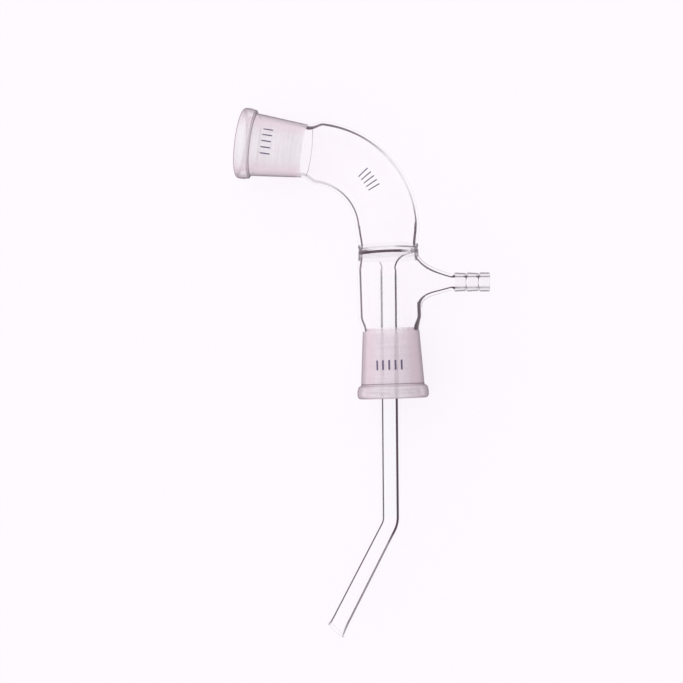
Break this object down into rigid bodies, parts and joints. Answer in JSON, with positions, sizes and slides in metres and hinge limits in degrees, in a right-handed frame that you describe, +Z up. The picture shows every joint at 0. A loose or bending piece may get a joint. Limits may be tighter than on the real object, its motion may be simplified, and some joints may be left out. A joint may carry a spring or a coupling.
{
  "type": "vacuum take off adapter",
  "caption": "Bent glass take-off adapter with a socket at each end, a ring-sealed drip tube inside its jacket and a ridged side arm for a vacuum hose.",
  "frame": {"origin": "centre of the receiver socket's mouth", "axes": "+Y up the jacket, away from the receiver socket's mouth; -X toward the inlet socket; +Z up, away from the floor that the adapter lies on"},
  "size_m": [0.1104, 0.2337, 0.0313],
  "materials": {
    "glass": "clear fire-polished glass",
    "ground": "finely ground, frosted"
  },
  "bodies": {
    "root": {"adapter": "glass"}
  },
  "joints": []
}
